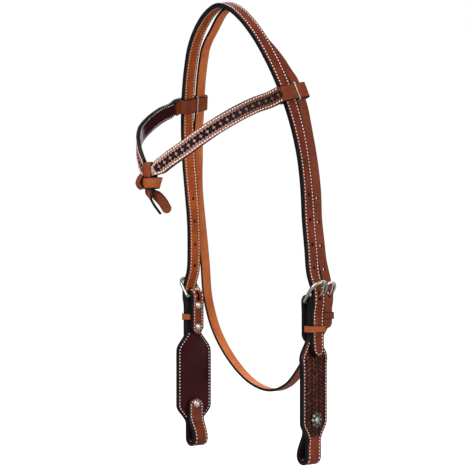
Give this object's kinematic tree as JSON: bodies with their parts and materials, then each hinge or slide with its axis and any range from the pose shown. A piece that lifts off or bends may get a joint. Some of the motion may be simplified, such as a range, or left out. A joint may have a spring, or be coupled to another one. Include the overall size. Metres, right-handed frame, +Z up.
{
  "type": "western headstall",
  "caption": "Leather headstall: crown strap, knotted V browband, throatlatch and wide tooled cheekpieces with buckles, keepers, conchos and screwed bit loops.",
  "frame": {"origin": "underside of the crown strap at the poll, midway between the cheeks", "axes": "+Z up, -Y towards the horse's forehead, +X towards the horse's near (left) side"},
  "size_m": [0.2416, 0.1866, 0.4958],
  "materials": {
    "russet_leather": "oiled smooth grain, burnished dark edges",
    "tan_lining": "matte flesh side",
    "burgundy_leather": "satin lining leather",
    "tooled_leather": "tooled and antiqued",
    "brow_leather": "tooled, painted ground",
    "keeper_leather": "oiled smooth grain",
    "dark_leather": "oiled grain, black edges",
    "antique_nickel": "antiqued plating",
    "bright_nickel": "bright plating"
  },
  "bodies": {
    "straps": {"crown_outer": "russet_leather", "crown_lining": "tan_lining", "throatlatch": "dark_leather", "near_cheek_outer": "tooled_leather", "near_cheek_lining": "burgundy_leather", "off_cheek_outer": "tooled_leather", "off_cheek_lining": "burgundy_leather", "near_upper_chape_post": "bright_nickel", "near_upper_chape_screw": "bright_nickel", "near_lower_chape_post": "bright_nickel", "near_lower_chape_screw": "bright_nickel", "off_upper_chape_post": "bright_nickel", "off_upper_chape_screw": "bright_nickel", "off_lower_chape_post": "bright_nickel", "off_lower_chape_screw": "bright_nickel", "near_concho": "antique_nickel", "near_concho_post": "bright_nickel", "off_concho": "antique_nickel", "off_concho_post": "bright_nickel"},
    "browband": {"near_browband_face": "brow_leather", "near_browband_lining": "burgundy_leather", "near_brow_loop": "russet_leather", "near_brow_staple": "bright_nickel", "off_browband_face": "brow_leather", "off_browband_lining": "burgundy_leather", "off_brow_loop": "russet_leather", "off_brow_staple": "bright_nickel", "knot_thong": "russet_leather", "knot_wrap": "keeper_leather"},
    "near_frame": {"near_buckle_frame": "antique_nickel"},
    "near_tongue": {"near_buckle_tongue": "antique_nickel"},
    "off_frame": {"off_buckle_frame": "antique_nickel"},
    "off_tongue": {"off_buckle_tongue": "antique_nickel"},
    "throat_frame": {"throat_buckle_frame": "bright_nickel"},
    "throat_tongue": {"throat_buckle_tongue": "bright_nickel"},
    "near_keeper": {"near_keeper": "keeper_leather"},
    "off_keeper": {"off_keeper": "keeper_leather"},
    "throat_keeper": {"throat_keeper": "dark_leather"}
  },
  "joints": [
    {"name": "browband_slide", "type": "slide", "parent": "straps", "child": "browband", "axis": [0, -0.1821, 0.9833], "range_m": [-0.0015, 0.0015]},
    {"name": "near_frame_swing", "type": "hinge", "parent": "straps", "child": "near_frame", "pos_m": [0.0985, 0.04, -0.3173], "axis": [0, 1, 0], "range_deg": [0, 3]},
    {"name": "near_tongue_lift", "type": "hinge", "parent": "near_frame", "child": "near_tongue", "pos_m": [0.0985, 0.04, -0.3173], "axis": [0, 1, 0], "range_deg": [0, 2]},
    {"name": "off_frame_swing", "type": "hinge", "parent": "straps", "child": "off_frame", "pos_m": [-0.0985, 0.04, -0.3173], "axis": [0, -1, 0], "range_deg": [0, 3]},
    {"name": "off_tongue_lift", "type": "hinge", "parent": "off_frame", "child": "off_tongue", "pos_m": [-0.0985, 0.04, -0.3173], "axis": [0, -1, 0], "range_deg": [0, 2]},
    {"name": "throat_frame_swing", "type": "hinge", "parent": "straps", "child": "throat_frame", "pos_m": [0.092, 0.0645, -0.315], "axis": [0, 1, 0], "range_deg": [0, 3]},
    {"name": "throat_tongue_lift", "type": "hinge", "parent": "throat_frame", "child": "throat_tongue", "pos_m": [0.092, 0.0645, -0.315], "axis": [0, 1, 0], "range_deg": [0, 2]},
    {"name": "near_keeper_slide", "type": "slide", "parent": "straps", "child": "near_keeper", "axis": [0, 0, 1], "range_m": [-0.0004, 0.0115]},
    {"name": "off_keeper_slide", "type": "slide", "parent": "straps", "child": "off_keeper", "axis": [0, 0, 1], "range_m": [-0.005, 0.0068]},
    {"name": "throat_keeper_slide", "type": "slide", "parent": "straps", "child": "throat_keeper", "axis": [0, 0, 1], "range_m": [-0.004, 0.001]}
  ]
}
